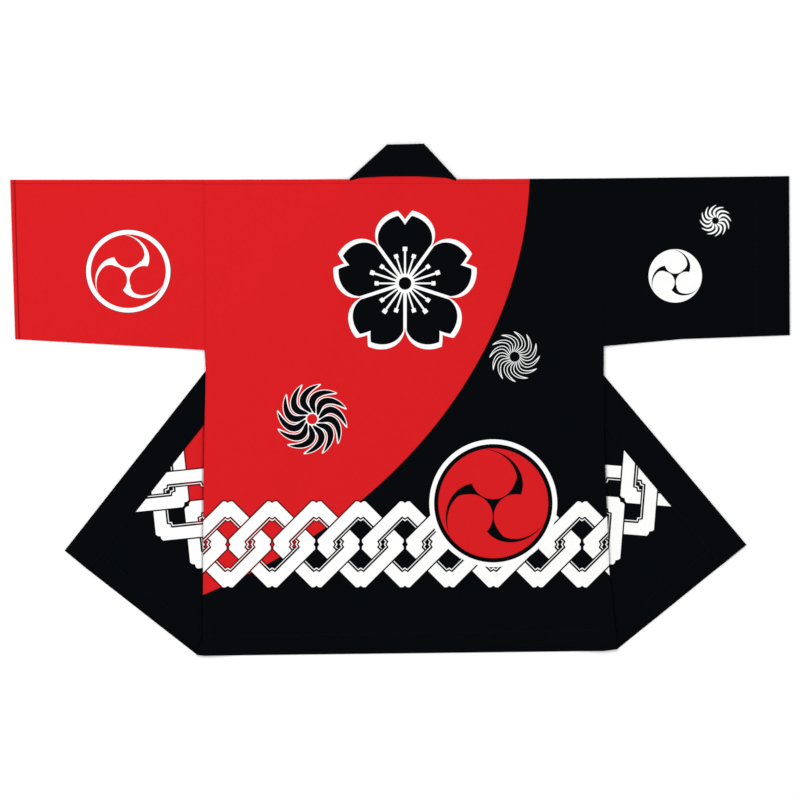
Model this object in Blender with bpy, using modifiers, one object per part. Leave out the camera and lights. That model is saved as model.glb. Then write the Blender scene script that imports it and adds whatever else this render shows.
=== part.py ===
"""A happi coat laid flat, back side up.

The coat has a one-piece back, two straight fronts, two straight sleeves and a long collar band. It lies on
its fronts, with the sleeves spread. Each front is folded under along a slanting line from the hem's corner
to the neck, so that its free half, with the band on its edge, shows beyond the side as a pointed flap. The
band's middle stands up past the neckline and turns under at both shoulders.

The panels lie on each other: the flaps are on the floor, the fronts on the flaps and the back on the fronts.
Where nothing lies under a layer it comes down to the floor. +X is the image's right, +Y goes from the hem to
the neck, and the origin is on the floor in the middle of the coat.
"""
import math
from collections import namedtuple

import bmesh
import bpy
import numpy as np

MM = 0.001
CLOTH = 1.2 * MM  # the wall of a panel
BAND = 2.0 * MM  # the wall of the collar band, which is cloth folded on itself
LAYER_GAP = 0.5 * MM  # air between two layers
SEAM_GAP = 0.3 * MM  # between two pieces that are sewn together
GRID = 26 * MM  # spacing of the points on a panel
REST_MARGIN = 14 * MM  # how far past a layer's edge the cloth above stays up
REST_RAMP = 62 * MM  # the width in which it then comes down
FOLD_STEPS = 6  # facets round a fold
SHOULDER_WRAP = 7 * MM  # the fronts turn over the shoulder fold to a seam this far down the back
NECK_RISE = 6.5 * MM  # the back neckline's curve
SLEEVE_STATIONS = 14
SLEEVE_ROWS = 11

# Each side of the body, in millimetres. back_corner is the back's hem corner and hem_corner is the
# front's, where its fold starts. centre_hem is where the front's free corner would lie with the front
# unfolded, and flap_tip is the band's corner with it folded. fold_lean is how far the fold line leans
# from the vertical, in degrees.
Side = namedtuple(
    "Side",
    "name sign shoulder underarm neck collar_top back_corner hem_corner centre_hem"
    " flap_tip fold_lean side_edge",
)
SIDES = [
    Side("left", -1, (-351.0, 393.4), (-349.7, 88.9), (-91.0, 394.2), (-23.5, 455.8), (-364.0, -455.8),
         (-363.0, -456.0), (-119.2, -464.6), (-599.7, -269.5), 20.0,
         [(-347.3, 49.7), (-351.1, -125.7), (-352.8, -424.6)]),
    Side("right", 1, (361.3, 395.8), (363.6, 95.5), (100.7, 394.2), (42.3, 457.3), (387.8, -445.6),
         (387.8, -445.6), (150.8, -464.3), (618.7, -259.3), 21.7,
         [(363.3, -54.1), (373.5, -308.3), (387.0, -434.9)]),
]
# Where the back hem bends, near its corners.
HEM_BENDS = [(-350.0, -457.4), (363.8, -448.8)]

# The sleeves' edges in millimetres, from the armhole to the cuff.
Sleeve = namedtuple("Sleeve", "name top_edge lower_edge")
SLEEVES = [
    Sleeve("left", [(-351.5, 393.4), (-696.9, 393.2)], [(-350.2, 88.9), (-688.0, 108.2)]),
    Sleeve("right", [(361.8, 395.8), (694.8, 399.8)], [(364.1, 95.5), (502.0, 108.2), (696.0, 115.2)]),
]

# Base colours and roughness.
FINISHES = {
    "back": ((0.74, 0.014, 0.020, 1), 0.8),
    "front_left": ((0.70, 0.013, 0.018, 1), 0.8),
    "front_right": ((0.004, 0.005, 0.008, 1), 0.8),
    "sleeve_left": ((0.74, 0.014, 0.020, 1), 0.8),
    "sleeve_right": ((0.004, 0.005, 0.008, 1), 0.8),
    "collar": ((0.005, 0.005, 0.008, 1), 0.75),
}


def metres(points):
    return np.array(points, float) * MM


def unit(vector):
    return vector / np.linalg.norm(vector)


def fold_direction(side):
    """The way up the slanting fold of a front."""
    lean = math.radians(side.fold_lean)
    return np.array([-side.sign * math.sin(lean), math.cos(lean)])


def reflect(points, through, direction):
    offset = points - through
    return through + 2 * (offset @ direction)[..., None] * direction - offset


def crossing(a, along_a, b, along_b):
    """Where two lines cross."""
    reach = np.linalg.solve(np.stack([along_a, -along_b], axis=1), b - a)
    return a + reach[0] * along_a


def distance_outside(points, corners):
    """How far each point lies outside a polygon, 0 inside it."""
    nearest = np.full(len(points), np.inf)
    inside = np.zeros(len(points), bool)
    for a, b in zip(corners, np.roll(corners, -1, axis=0)):
        edge = b - a
        along = np.clip((points - a) @ edge / (edge @ edge), 0, 1)
        nearest = np.minimum(nearest, np.linalg.norm(points - a - along[:, None] * edge, axis=1))
        spans = (a[1] > points[:, 1]) != (b[1] > points[:, 1])
        rise = edge[1] if abs(edge[1]) > 1e-12 else 1e-12
        inside ^= spans & (points[:, 0] < a[0] + (points[:, 1] - a[1]) * edge[0] / rise)
    return np.where(inside, 0, nearest)


def lift(points, corners, height):
    """How much a layer raises the cloth above it: its whole height over it, then a soft slope to nothing."""
    down = np.clip((distance_outside(points, corners) - REST_MARGIN) / REST_RAMP, 0, 1)
    return height * (1 + np.cos(math.pi * down)) / 2


def layout(side):
    """The outlines of a side's layers as they lie, by name."""
    neck, top, hem_corner = (metres(p) for p in (side.neck, side.collar_top, side.hem_corner))
    tip, centre_hem = (metres(p) for p in (side.flap_tip, side.centre_hem))
    up = fold_direction(side)
    band_start = crossing(hem_corner, up, neck, unit(centre_hem - neck))
    band_hem = reflect(centre_hem, hem_corner, up)
    flap_top = crossing(hem_corner, up, tip, unit(band_start - band_hem))
    edge = [metres(p) for p in (side.shoulder, side.underarm, *side.side_edge)]
    return {
        "flap": np.array([hem_corner, flap_top, tip]),
        "band": np.array([tip, band_hem, band_start, flap_top]),
        "front": np.array([*edge, hem_corner, band_start, top, neck]),
        "tuck": np.array([neck, top, band_start]),
    }


LAYOUTS = {side.name: layout(side) for side in SIDES}


def heights(points):
    """The height of the underside of each level at these points: the floor, the fronts and the back."""
    front_level, back_level = np.zeros(len(points)), np.zeros(len(points))
    layer, thicker = CLOTH + LAYER_GAP, BAND - CLOTH
    for shapes in LAYOUTS.values():
        over_flap = lift(points, shapes["flap"], layer) + lift(points, shapes["band"], thicker)
        over_front = lift(points, shapes["front"], layer) + lift(points, shapes["tuck"], thicker)
        front_level += over_flap**4
        back_level += (over_flap + over_front) ** 4
    return np.stack([np.zeros(len(points)), front_level**0.25, back_level**0.25])


def at_level(points, level, wall):
    """Places points of a wall's middle at a level from 0 to 2, which may lie between two levels."""
    below = np.minimum(level.astype(int), 1)
    all_heights = heights(points)
    column = np.arange(len(points))
    low, high = all_heights[below, column], all_heights[below + 1, column]
    return np.column_stack([points, low + (level - below) * (high - low) + wall / 2])


def fold_lines(through, beyond, radius):
    """Cuts across a panel where a fold's facets meet."""
    return [(through + beyond * radius * math.pi * (step / FOLD_STEPS - 0.5), beyond)
            for step in range(FOLD_STEPS + 1)]


def fold(points, through, beyond, radius):
    """Turns what lies beyond a line back over it, round a bend.

    Returns the points and how far each has turned, from 0 to 1.
    """
    past = (points - through) @ beyond
    bend = np.clip(past / radius + math.pi / 2, 0, math.pi)
    round_bend = radius * (np.sin(bend) - math.pi / 2)
    across = np.where(bend <= 0, past, np.where(bend >= math.pi, -past, round_bend))
    return points + (across - past)[:, None] * beyond, (1 - np.cos(bend)) / 2


def grid_lines(corners):
    """Cuts along a panel's length and width, at the same places on every panel."""
    lines = []
    for axis in (0, 1):
        across = np.eye(2)[axis]
        first, last = np.ceil(corners[:, axis].min() / GRID), np.floor(corners[:, axis].max() / GRID)
        lines += [(across * step * GRID, across) for step in np.arange(first, last + 1)]
    return lines


def cut_sheet(corners, lines):
    """A flat panel with this outline, cut along lines, each given by a point on it and its normal."""
    sheet = bmesh.new()
    sheet.faces.new([sheet.verts.new((x, y, 0)) for x, y in corners])
    for point, normal in lines:
        geometry = [*sheet.verts, *sheet.edges, *sheet.faces]
        bmesh.ops.bisect_plane(sheet, geom=geometry, dist=1e-6, plane_co=(*point, 0), plane_no=(*normal, 0))
    bmesh.ops.dissolve_degenerate(sheet, edges=sheet.edges, dist=2e-5)
    bmesh.ops.triangulate(sheet, faces=sheet.faces)
    sheet.normal_update()
    downward = [face for face in sheet.faces if face.normal.z < 0]
    bmesh.ops.reverse_faces(sheet, faces=downward)
    return sheet


def flat_points(sheet):
    return np.array([vert.co[:2] for vert in sheet.verts])


def place(sheet, points):
    for vert, point in zip(sheet.verts, points):
        vert.co = point


def add_piece(name, sheet, wall, collection):
    """Makes a piece of cloth from its middle surface."""
    mesh = bpy.data.meshes.new(name)
    sheet.to_mesh(mesh)
    sheet.free()
    piece = bpy.data.objects.new(name, mesh)
    collection.objects.link(piece)
    thickness = piece.modifiers.new("Wall", "SOLIDIFY")
    thickness.thickness = wall
    thickness.offset = 0
    thickness.use_even_offset = True
    colour, roughness = FINISHES.get(name, FINISHES["collar"])
    material = bpy.data.materials.new(name)
    material.use_nodes = True
    shader = material.node_tree.nodes["Principled BSDF"]
    shader.inputs["Base Color"].default_value = colour
    shader.inputs["Roughness"].default_value = roughness
    mesh.materials.append(material)
    mesh.shade_smooth()
    mesh.set_sharp_from_angle(angle=math.radians(40))
    return piece


def neckline(gap):
    """The back neckline from left to right, moved up by gap."""
    left, right = (metres(side.neck) for side in SIDES)
    ends = 2.2 * MM  # the curve stops this far inside each neck point
    across = np.linspace(-1, 1, 11)
    x = (left[0] + right[0]) / 2 + across * ((right[0] - left[0]) / 2 - ends)
    return np.column_stack([x, left[1] + NECK_RISE * (1 - across**2) + ends / 2 + gap])


def make_back(collection):
    left, right = SIDES
    seam = [metres(side.shoulder) - (0, SHOULDER_WRAP) for side in SIDES]
    neck = [metres(side.neck) for side in SIDES]
    inset = np.array([SEAM_GAP * 3, 0])
    below_band = np.array([0, 3.5 * MM])  # the band's fold fills the neck's corners
    corners = np.array([
        seam[0], *metres([left.underarm, *left.side_edge, left.back_corner, *HEM_BENDS]),
        *metres([right.back_corner, *right.side_edge[::-1], right.underarm]), seam[1],
        neck[1] - inset - (0, SHOULDER_WRAP), neck[1] - inset - below_band, *neckline(0)[-2:0:-1],
        neck[0] + inset - below_band, neck[0] + inset - (0, SHOULDER_WRAP),
    ])
    sheet = cut_sheet(corners, grid_lines(corners))
    points = flat_points(sheet)
    place(sheet, at_level(points, np.full(len(points), 2.0), CLOTH))
    return add_piece("back", sheet, CLOTH, collection)


def make_front(side, collection):
    """A front with its shoulder turned up over the back and its free half folded under."""
    shoulder, neck, centre_hem = (metres(p) for p in (side.shoulder, side.neck, side.centre_hem))
    hem_corner, inward = metres(side.hem_corner), -side.sign
    radius = (CLOTH + LAYER_GAP) / 2
    along_shoulder = unit(neck - shoulder) * inward
    over = np.array([-along_shoulder[1], along_shoulder[0]])
    up = fold_direction(side)
    inside = np.array([up[1], -up[0]]) * inward
    wrap = over * (SHOULDER_WRAP - SEAM_GAP)
    seam_inset = np.array([inward * SEAM_GAP, 0])
    corners = np.array([
        shoulder + wrap, *metres([side.underarm, *side.side_edge]), hem_corner,
        centre_hem - seam_inset, neck - 2 * seam_inset, neck - 2 * seam_inset + wrap,
    ])
    shoulder_line = shoulder + over * radius * (math.pi / 2 - 1) - over * CLOTH / 2
    lines = fold_lines(shoulder_line, over, radius) + fold_lines(hem_corner, inside, radius)
    sheet = cut_sheet(corners, grid_lines(corners) + lines)
    points, under = fold(flat_points(sheet), hem_corner, inside, radius)
    points, turned = fold(points, shoulder_line, over, radius)
    place(sheet, at_level(points, 1 - under + turned, CLOTH))
    return add_piece(f"front_{side.name}", sheet, CLOTH, collection)


def make_collar_end(side, collection):
    """The stretch of the band on a flap, which lies on the floor."""
    tip, band_hem, band_start, top = LAYOUTS[side.name]["band"]
    inset = unit(tip - band_hem) * SEAM_GAP
    clear_of_fold = unit(tip - top) * 9 * MM
    corners = np.array([tip, band_hem + inset, band_start + inset + clear_of_fold, top + clear_of_fold])
    sheet = cut_sheet(corners, grid_lines(corners))
    points = flat_points(sheet)
    place(sheet, np.column_stack([points, np.full(len(points), BAND / 2)]))
    return add_piece(f"collar_{side.name}", sheet, BAND, collection)


def make_collar_back(collection):
    """The band's middle, which stands past the neckline and turns under at both shoulders."""
    radius = (BAND + LAYER_GAP) / 2
    ends, lines, folds = [], [], []
    for side in SIDES:
        neck, top, band_start = LAYOUTS[side.name]["tuck"]
        slant = unit(top - neck)
        outward = np.array([slant[1], -slant[0]]) * side.sign
        ends.append((reflect(band_start, neck, slant), top))
        lines += fold_lines(neck, outward, radius)
        folds.append((neck, outward))
    corners = np.array([*neckline(SEAM_GAP), ends[1][0], ends[1][1], ends[0][1], ends[0][0]])
    sheet = cut_sheet(corners, grid_lines(corners) + lines)
    points = flat_points(sheet)
    under = np.zeros(len(points))
    for neck, outward in folds:
        points, turned = fold(points, neck, outward, radius)
        under += turned
    place(sheet, at_level(points, 2 - under, BAND))
    return add_piece("collar_back", sheet, BAND, collection)


def along_edge(edge, fraction):
    """A point at a fraction of an edge's width across the coat."""
    x = edge[0, 0] + (edge[-1, 0] - edge[0, 0]) * fraction
    order = np.argsort(edge[:, 0])
    return np.array([x, np.interp(x, edge[order, 0], edge[order, 1])])


def sleeve_ring(top, lower):
    """The points round a flattened sleeve, from the lower edge over the top and back, with their levels."""
    radius = (CLOTH + LAYER_GAP) / 2
    up = unit(top - lower)
    inset = (radius + CLOTH / 2) * up
    top, lower = top - inset, lower + inset
    across = np.linspace(0, 1, SLEEVE_ROWS + 1)[:, None]
    turn = np.linspace(0, math.pi, FOLD_STEPS + 1)[1:-1]
    bend, turned = radius * np.sin(turn)[:, None] * up, (1 - np.cos(turn)) / 2
    upward, downward = lower + across * (top - lower), top + across * (lower - top)
    ring = np.concatenate([upward, top + bend, downward, lower - bend])
    flat = np.zeros(SLEEVE_ROWS + 1)
    return ring, np.concatenate([flat, turned, flat + 1, 1 - turned])


def make_sleeve(sleeve, collection):
    """A straight sleeve, folded above and sewn below, flattened and open at the armhole and the cuff."""
    top_edge, lower_edge = metres(sleeve.top_edge), metres(sleeve.lower_edge)
    sheet = bmesh.new()
    rings = []
    for fraction in np.linspace(0, 1, SLEEVE_STATIONS):
        ring, level = sleeve_ring(along_edge(top_edge, fraction), along_edge(lower_edge, fraction))
        rest = heights(ring)[1]
        z = rest + level * (CLOTH + LAYER_GAP) + CLOTH / 2
        rings.append([sheet.verts.new(point) for point in np.column_stack([ring, z])])
    for near, far in zip(rings, rings[1:]):
        for i in range(len(near)):
            j = (i + 1) % len(near)
            sheet.faces.new([near[i], near[j], far[j], far[i]])
    bmesh.ops.recalc_face_normals(sheet, faces=sheet.faces)
    return add_piece(f"sleeve_{sleeve.name}", sheet, CLOTH, collection)


def main():
    for old in list(bpy.data.objects):
        bpy.data.objects.remove(old)
    collection = bpy.data.collections.new("happi coat")
    bpy.context.scene.collection.children.link(collection)
    make_back(collection)
    make_collar_back(collection)
    for side in SIDES:
        make_front(side, collection)
        make_collar_end(side, collection)
    for sleeve in SLEEVES:
        make_sleeve(sleeve, collection)


main()
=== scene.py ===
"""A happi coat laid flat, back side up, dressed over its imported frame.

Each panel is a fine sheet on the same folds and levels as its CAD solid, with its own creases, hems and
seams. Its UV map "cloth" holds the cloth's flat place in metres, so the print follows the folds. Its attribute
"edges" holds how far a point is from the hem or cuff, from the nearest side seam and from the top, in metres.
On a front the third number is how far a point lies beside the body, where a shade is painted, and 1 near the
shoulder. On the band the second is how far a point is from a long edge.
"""
import math
from collections import namedtuple

import bmesh
import bpy
import numpy as np
from mathutils.bvhtree import BVHTree
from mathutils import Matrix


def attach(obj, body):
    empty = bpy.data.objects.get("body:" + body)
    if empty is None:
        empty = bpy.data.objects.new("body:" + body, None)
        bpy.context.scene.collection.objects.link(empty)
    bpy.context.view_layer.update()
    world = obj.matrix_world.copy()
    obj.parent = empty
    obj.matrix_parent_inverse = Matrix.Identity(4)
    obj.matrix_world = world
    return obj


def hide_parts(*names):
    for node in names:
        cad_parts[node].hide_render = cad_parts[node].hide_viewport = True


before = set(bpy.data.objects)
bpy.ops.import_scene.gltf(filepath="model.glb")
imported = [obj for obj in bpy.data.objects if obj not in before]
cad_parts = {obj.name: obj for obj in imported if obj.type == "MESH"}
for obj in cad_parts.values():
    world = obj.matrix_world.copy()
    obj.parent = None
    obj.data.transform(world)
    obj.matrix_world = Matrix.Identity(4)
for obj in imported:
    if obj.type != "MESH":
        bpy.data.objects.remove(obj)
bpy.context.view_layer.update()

bl_info = {
    "name": "Happi coat",
    "version": (1, 0, 0),
    "blender": (4, 5, 0),
    "location": "3D View > Sidebar > Happi coat",
    "description": "Builds a printed cotton happi coat laid flat, with its seams, stitches and studio",
    "category": "Add Mesh",
}

MM = 0.001
# The walls and gaps of the solids, which set how high each layer lies.
CLOTH = 1.2 * MM
BAND = 2.0 * MM
LAYER_GAP = 0.5 * MM
SEAM_GAP = 0.3 * MM
# How far sewn pieces run into each other, so that no floor shows between them.
BAND_LAP = 1.2 * MM
NECK_LAP = 1.0 * MM
ARM_LAP = 0.8 * MM
# Where the cloth starts to come down beside a layer, and how far its soft slope reaches.
REST_MARGIN = 14 * MM
REST_RAMP = 62 * MM
# A fold's facets and the middle radius of a fold in a panel.
FOLD_STEPS = 6
FOLD_RADIUS = (CLOTH + LAYER_GAP) / 2
# The ends of the neckline, the drop of its corners and how far above it its stitches run.
NECK_END = 2.2 * MM
NECK_CORNER = 3.5 * MM
NECK_ROW = 2.2 * MM
# Beside the body a flap's hem and creases start here and reach their height over this distance.
FREE_FROM = 8 * MM
FREE_REACH = 30 * MM
# How soft the edge of a printed disc is.
PRINT_SOFT = 0.5 * MM
# How much of a level a side edge comes down, and over what distance.
EDGE_DROP = 0.22
EDGE_REACH = 7 * MM
# The strip of a front that turns over the shoulder, and the rise of the neckline in its middle.
SHOULDER_WRAP = 7 * MM
NECK_RISE = 4.6 * MM
# How far inside the fold the hidden ends of the band stop.
BAND_CLEAR = 24 * MM
BAND_STEP = 4 * MM
BAND_CROWN = 0.25 * MM
# Beside the body a front gets a painted shade, but not this near to its top.
SHOULDER_WITHOUT_PAINTED_SHADE = 60 * MM
# How far a row of stitches stays inside the ends of its seam, and beside other cloth.
ROW_INSET = 4 * MM
ROW_CLEAR = 3 * MM
# Stitches below a sleeve are raised by this much, so that none reaches under the floor.
ROW_RAISE = 0.18 * MM
BAND_ROWS = (2.0 * MM, 56.5 * MM)

CAMERA_PLACE = (-0.45 * MM, -0.45 * MM, 6.0)
CAMERA_LENS = 151.05
LAMP_PLACE = (-1.7, 2.0, 3.0)
LAMP_TURN = (math.radians(-33), math.radians(-29.5), 0)
LAMP_SIZE = 1.6
FLOOR_HALF = 8.0

# Each side of the body, in millimetres, as in the part's source.
Side = namedtuple(
    "Side",
    "name sign shoulder underarm neck collar_top back_corner hem_corner centre_hem"
    " flap_tip fold_lean side_edge",
)
SIDES = [
    Side("left", -1, (-351.0, 393.4), (-349.7, 88.9), (-91.0, 394.2), (-23.5, 455.8), (-364.0, -455.8),
         (-363.0, -456.0), (-119.2, -464.6), (-599.7, -269.5), 20.0,
         [(-347.3, 49.7), (-351.1, -125.7), (-352.8, -424.6)]),
    Side("right", 1, (361.3, 395.8), (363.6, 95.5), (100.7, 394.2), (42.3, 457.3), (387.8, -445.6),
         (387.8, -445.6), (150.8, -464.3), (618.7, -259.3), 21.7,
         [(363.3, -54.1), (373.5, -308.3), (387.0, -434.9)]),
]
# Where the back hem bends, near its corners.
HEM_BENDS = [(-350.0, -457.4), (363.8, -448.8)]

Sleeve = namedtuple("Sleeve", "name top_edge lower_edge")
SLEEVES = [
    Sleeve("left", [(-351.5, 393.4), (-696.9, 393.2)], [(-350.2, 88.9), (-688.0, 108.2)]),
    Sleeve("right", [(361.8, 395.8), (694.8, 399.8)], [(364.1, 95.5), (502.0, 108.2), (696.0, 115.2)]),
]

# The chain on each front: how far it is turned, in degrees, a link's centre and its middle line.
FRONT_CHAINS = {"left": (0.86, 58.8, -259.0), "right": (-3.02, 49.9, -248.7)}

# Creases in millimetres on the laid coat: start, end, half width and height.
Crease = namedtuple("Crease", "start end width height")
BACK_CREASES = [
    Crease((-343, -40), (-346, -455), 7, 0.5),
    Crease((-336, -300), (-341, -452), 3.5, 0.5),
    Crease((356, 90), (357, -250), 6, 0.5),
    Crease((-346, 88), (-250, 10), 10, 0.5),
    Crease((360, 96), (262, 20), 10, 0.5),
    Crease((-120, 150), (-60, -380), 28, 0.35),
    Crease((60, 330), (110, -90), 30, 0.35),
    Crease((200, 60), (230, -430), 26, 0.35),
    Crease((-260, 330), (-230, -60), 26, 0.3),
]
FRONT_CREASES = {
    "left": [
        Crease((-352, 20), (-430, -240), 9, 0.5),
        Crease((-400, -420), (-520, -270), 16, 0.4),
        Crease((-356, -180), (-372, -440), 5, 0.6),
    ],
    "right": [
        Crease((372, 10), (452, -230), 9, 0.5),
        Crease((430, -410), (540, -260), 16, 0.4),
        Crease((394, -180), (402, -430), 5, 0.6),
    ],
}
SLEEVE_CREASES = {
    "left": [
        Crease((-352, 250), (-560, 200), 20, 0.35),
        Crease((-360, 110), (-470, 190), 10, 0.4),
        Crease((-610, 380), (-640, 130), 16, 0.3),
    ],
    "right": [
        Crease((362, 250), (560, 200), 20, 0.35),
        Crease((372, 118), (470, 190), 10, 0.4),
        Crease((610, 390), (640, 130), 16, 0.3),
    ],
}


def metres(points):
    return np.array(points, float) * MM


def unit(vector):
    return vector / np.linalg.norm(vector)


def fold_direction(side):
    """The way up the slanting fold of a front."""
    lean = math.radians(side.fold_lean)
    return np.array([-side.sign * math.sin(lean), math.cos(lean)])


def fold_normal(side):
    """The way across the slanting fold of a front, to the middle of the coat."""
    up = fold_direction(side)
    return np.array([up[1], -up[0]]) * -side.sign


def over_shoulder(side):
    """The way up across a front's shoulder."""
    along = unit(metres(side.neck) - metres(side.shoulder)) * -side.sign
    return np.array([-along[1], along[0]])


def reflect(points, through, direction):
    offset = points - through
    return through + 2 * (offset @ direction)[..., None] * direction - offset


def crossing(a, along_a, b, along_b):
    """Where two lines cross."""
    reach = np.linalg.solve(np.stack([along_a, -along_b], axis=1), b - a)
    return a + reach[0] * along_a


def distance_outside(points, corners):
    """How far each point lies outside a polygon, 0 inside it."""
    nearest = np.full(len(points), np.inf)
    inside = np.zeros(len(points), bool)
    for a, b in zip(corners, np.roll(corners, -1, axis=0)):
        edge = b - a
        along = np.clip((points - a) @ edge / (edge @ edge), 0, 1)
        nearest = np.minimum(nearest, np.linalg.norm(points - a - along[:, None] * edge, axis=1))
        spans = (a[1] > points[:, 1]) != (b[1] > points[:, 1])
        rise = edge[1] if abs(edge[1]) > 1e-12 else 1e-12
        inside ^= spans & (points[:, 0] < a[0] + (points[:, 1] - a[1]) * edge[0] / rise)
    return np.where(inside, 0, nearest)


def lift(points, corners, height):
    """How much a layer raises the cloth above it: its whole height over it, then a soft slope to nothing."""
    down = np.clip((distance_outside(points, corners) - REST_MARGIN) / REST_RAMP, 0, 1)
    return height * (1 + np.cos(math.pi * down)) / 2


def layout(side):
    """The outlines of a side's layers as they lie, by name."""
    neck, top, hem_corner = (metres(p) for p in (side.neck, side.collar_top, side.hem_corner))
    tip, centre_hem = (metres(p) for p in (side.flap_tip, side.centre_hem))
    up = fold_direction(side)
    band_start = crossing(hem_corner, up, neck, unit(centre_hem - neck))
    band_hem = reflect(centre_hem, hem_corner, up)
    flap_top = crossing(hem_corner, up, tip, unit(band_start - band_hem))
    edge = [metres(p) for p in (side.shoulder, side.underarm, *side.side_edge)]
    return {
        "flap": np.array([hem_corner, flap_top, tip]),
        "band": np.array([tip, band_hem, band_start, flap_top]),
        "front": np.array([*edge, hem_corner, band_start, top, neck]),
        "tuck": np.array([neck, top, band_start]),
    }


LAYOUTS = {side.name: layout(side) for side in SIDES}


def heights(points):
    """The height of the underside of each level at these points: the floor, the fronts and the back."""
    front_level, back_level = np.zeros(len(points)), np.zeros(len(points))
    for shapes in LAYOUTS.values():
        over_flap, over_front = (
            lift(points, shapes[cloth], CLOTH + LAYER_GAP) + lift(points, shapes[band], BAND - CLOTH)
            for cloth, band in (("flap", "band"), ("front", "tuck")))
        front_level += over_flap**4
        back_level += (over_flap + over_front) ** 4
    return np.stack([np.zeros(len(points)), front_level**0.25, back_level**0.25])


def at_level(points, level, wall):
    """Places points of a wall's middle at a level from 0 to 2, which may lie between two levels."""
    below = np.minimum(level.astype(int), 1)
    all_heights = heights(points)
    column = np.arange(len(points))
    low, high = all_heights[below, column], all_heights[below + 1, column]
    return np.column_stack([points, low + (level - below) * (high - low) + wall / 2])


def fold_lines(through, beyond, radius):
    """Cuts across a panel where a fold's facets meet."""
    return [(through + beyond * radius * math.pi * (step / FOLD_STEPS - 0.5), beyond)
            for step in range(FOLD_STEPS + 1)]


def fold(points, through, beyond, radius):
    """Turns what lies beyond a line back over it. Returns the points and how far each has turned, up to 1."""
    past = (points - through) @ beyond
    bend = np.clip(past / radius + math.pi / 2, 0, math.pi)
    bent = radius * (np.sin(bend) - math.pi / 2)
    across = np.where(bend <= 0, past, np.where(bend >= math.pi, -past, bent))
    return points + (across - past)[:, None] * beyond, (1 - np.cos(bend)) / 2


def ease(distance, reach):
    """1 at an edge and 0 from a reach inside it, with a soft slope between."""
    return (1 + np.cos(math.pi * np.clip(distance / reach, 0, 1))) / 2


def hem_ridge(distance, height, middle=3 * MM, reach=4 * MM):
    """The low ridge of a hem along an edge."""
    return height * ease(np.abs(distance - middle), reach)


def creased(points, marks, scale):
    """How far these creases raise the cloth."""
    rise = np.zeros(len(points))
    for mark in marks:
        start = metres(mark.start)
        run = metres(mark.end) - start
        length = np.linalg.norm(run)
        place = (points - start) @ run / length**2
        across = (points - start) @ np.array([-run[1], run[0]]) / length
        ends = 1 - ease(np.minimum(place, 1 - place), 0.25)
        profile = np.exp(-((across / (mark.width * MM)) ** 2))
        rise += mark.height * MM * profile * np.where(place * (1 - place) > 0, ends, 0)
    return rise * scale


class Panel:
    """A panel between four edges in metres. Its sides go up, and its bottom and top go right."""

    def __init__(self, left, right, bottom, top):
        self.left, self.right, self.bottom, self.top = (np.array(edge) for edge in (left, right, bottom, top))

    def x_at(self, edge, y):
        return np.interp(y, edge[:, 1], edge[:, 0])

    def y_at(self, edge, x):
        return np.interp(x, edge[:, 0], edge[:, 1])

    def grid(self, across, up):
        """Points in rows from the bottom up, as an array of rows by columns by 2."""
        u, v = np.meshgrid(across, up)
        x = self.bottom[0, 0] + u * (self.bottom[-1, 0] - self.bottom[0, 0])
        for _ in range(8):
            y = (1 - v) * self.y_at(self.bottom, x) + v * self.y_at(self.top, x)
            x = (1 - u) * self.x_at(self.left, y) + u * self.x_at(self.right, y)
        return np.stack([x, y], axis=-1)

    def distances(self, points):
        """How far points are above the bottom, in from the nearer side and below the top."""
        x, y = points[:, 0], points[:, 1]
        side = np.minimum(x - self.x_at(self.left, y), self.x_at(self.right, y) - x)
        return np.column_stack([y - self.y_at(self.bottom, x), side, self.y_at(self.top, x) - y])


def spacing(length, step):
    """Fractions of a length from 0 to 1, a step apart and closer near both ends."""
    margin = np.array([0, 0.7, 1.6, 2.8, 4.4, 6.4, 9]) * MM
    count = max(1, round((length - 2 * margin[-1]) / step))
    middle = np.linspace(margin[-1], length - margin[-1], count + 1)
    return np.concatenate([margin[:-1], middle, length - margin[-2::-1]]) / length


def quads(number):
    """The four-sided faces between rows of numbered points."""
    corners = [number[:-1, :-1], number[:-1, 1:], number[1:, 1:], number[1:, :-1]]
    return np.stack(corners, axis=-1).reshape(-1, 4)


def grid_numbers(rows, columns):
    return np.arange(rows * columns).reshape(rows, columns)


def add_cloth(name, points, faces, natural, edges, wall, material):
    """Makes a piece of cloth from its middle surface and gives it its wall."""
    mesh = bpy.data.meshes.new(name)
    mesh.from_pydata([tuple(p) for p in points], [], [tuple(int(i) for i in f) for f in faces])
    corner = np.zeros(len(mesh.loops), int)
    mesh.loops.foreach_get("vertex_index", corner)
    cloth = mesh.uv_layers.new(name="cloth")
    cloth.data.foreach_set("uv", natural[corner].astype(np.float32).ravel())
    attribute = mesh.attributes.new("edges", "FLOAT_VECTOR", "POINT")
    attribute.data.foreach_set("vector", edges.astype(np.float32).ravel())
    mesh.materials.append(material)
    mesh.validate()
    mesh.shade_smooth()
    piece = bpy.data.objects.new(name, mesh)
    bpy.context.scene.collection.objects.link(piece)
    thickness = piece.modifiers.new("Wall", "SOLIDIFY")
    thickness.thickness = wall
    thickness.offset = 0
    thickness.use_even_offset = True
    return piece


def cut_sheet(corners, lines):
    """A flat sheet with this outline, cut along lines, each given by a point on it and its normal."""
    sheet = bmesh.new()
    sheet.faces.new([sheet.verts.new((x, y, 0)) for x, y in corners])
    return cut_along(sheet, lines)


def cut_along(sheet, lines):
    for point, normal in lines:
        geometry = [*sheet.verts, *sheet.edges, *sheet.faces]
        bmesh.ops.bisect_plane(sheet, geom=geometry, dist=1e-6, plane_co=(*point, 0), plane_no=(*normal, 0))
    bmesh.ops.dissolve_degenerate(sheet, edges=sheet.edges, dist=2e-5)
    sheet.normal_update()
    downward = [face for face in sheet.faces if face.normal.z < 0]
    bmesh.ops.reverse_faces(sheet, faces=downward)
    return sheet


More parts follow.
